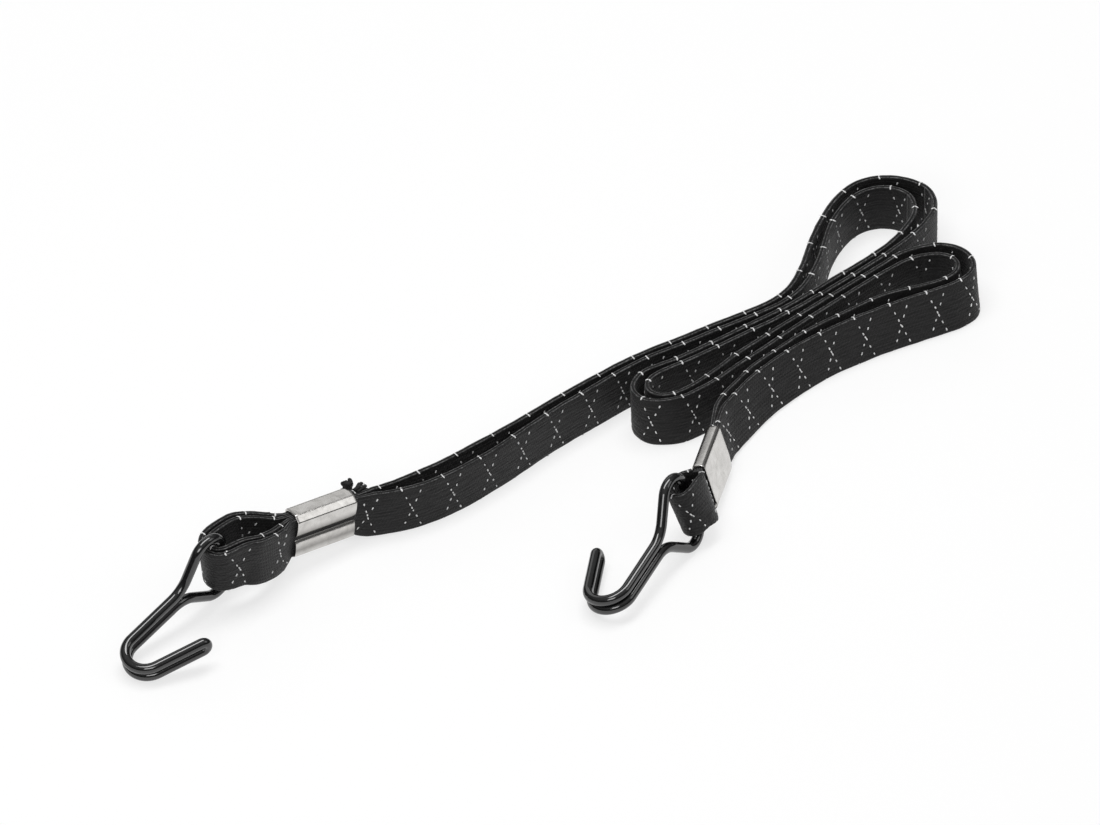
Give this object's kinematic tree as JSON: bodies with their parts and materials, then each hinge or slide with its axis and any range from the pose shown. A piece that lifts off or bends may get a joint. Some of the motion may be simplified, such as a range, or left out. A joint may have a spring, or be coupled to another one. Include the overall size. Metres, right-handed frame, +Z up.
{
  "type": "bungee cord",
  "caption": "Flat woven elastic luggage strap, doubled and folded up on a table, with a crimped metal ferrule and a plastic-coated wire hook at each end.",
  "frame": {"origin": "middle of the underside, on the table", "axes": "+X along the strap, from the left hook to the folds; +Z up from the table"},
  "size_m": [0.3084, 0.096, 0.0283],
  "materials": {
    "band_weave": "black woven polyester, ribbed lengthwise, with white tracer yarns in crosses",
    "rubber_threads": "natural rubber threads, hidden inside the weave",
    "ferrule_nickel": "nickel-plated sheet steel, satin and slightly mottled",
    "hook_coat": "glossy black dipped plastic",
    "hook_wire": "drawn steel wire, seen only at its cut ends"
  },
  "bodies": {
    "strap": {"left_run_front_jacket": "band_weave", "left_run_front_rubber": "rubber_threads", "left_run_rear_jacket": "band_weave", "left_run_rear_rubber": "rubber_threads", "folded_first_jacket": "band_weave", "folded_first_rubber": "rubber_threads", "folded_second_jacket": "band_weave", "folded_second_rubber": "rubber_threads", "right_run_back_jacket": "band_weave", "right_run_back_rubber": "rubber_threads", "right_run_front_jacket": "band_weave", "right_run_front_rubber": "rubber_threads"},
    "left_end": {"left_ferrule": "ferrule_nickel", "left_loop_outer_jacket": "band_weave", "left_loop_outer_rubber": "rubber_threads", "left_loop_inner_jacket": "band_weave", "left_loop_inner_rubber": "rubber_threads"},
    "left_hook": {"left_hook_wire": "hook_wire", "left_hook_coat": "hook_coat"},
    "right_end": {"right_ferrule": "ferrule_nickel", "right_loop_jacket": "band_weave", "right_loop_rubber": "rubber_threads"},
    "right_hook": {"right_hook_wire": "hook_wire", "right_hook_coat": "hook_coat"}
  },
  "joints": [
    {"name": "left_stretch", "type": "slide", "parent": "strap", "child": "left_end", "axis": [-1, 0, 0], "range_m": [0, 0.085], "stiffness_N_per_m": 200, "deforming": ["left_run_front_jacket", "left_run_front_rubber", "left_run_rear_jacket", "left_run_rear_rubber"]},
    {"name": "left_hook_swing", "type": "hinge", "parent": "left_end", "child": "left_hook", "pos_m": [-0.10976, 0.03353, 0.01667], "axis": [-0.2794, -0.0912, 0.9558], "range_deg": [-95, 75]},
    {"name": "right_stretch", "type": "slide", "parent": "strap", "child": "right_end", "axis": [-1, 0, 0], "range_m": [0, 0.08], "stiffness_N_per_m": 200, "deforming": ["right_run_back_jacket", "right_run_back_rubber", "right_run_front_jacket", "right_run_front_rubber"]},
    {"name": "right_hook_swing", "type": "hinge", "parent": "right_end", "child": "right_hook", "pos_m": [0.01264, -0.03027, 0.01378], "axis": [-0.2468, 0.21, 0.9461], "range_deg": [-75, 85]}
  ]
}
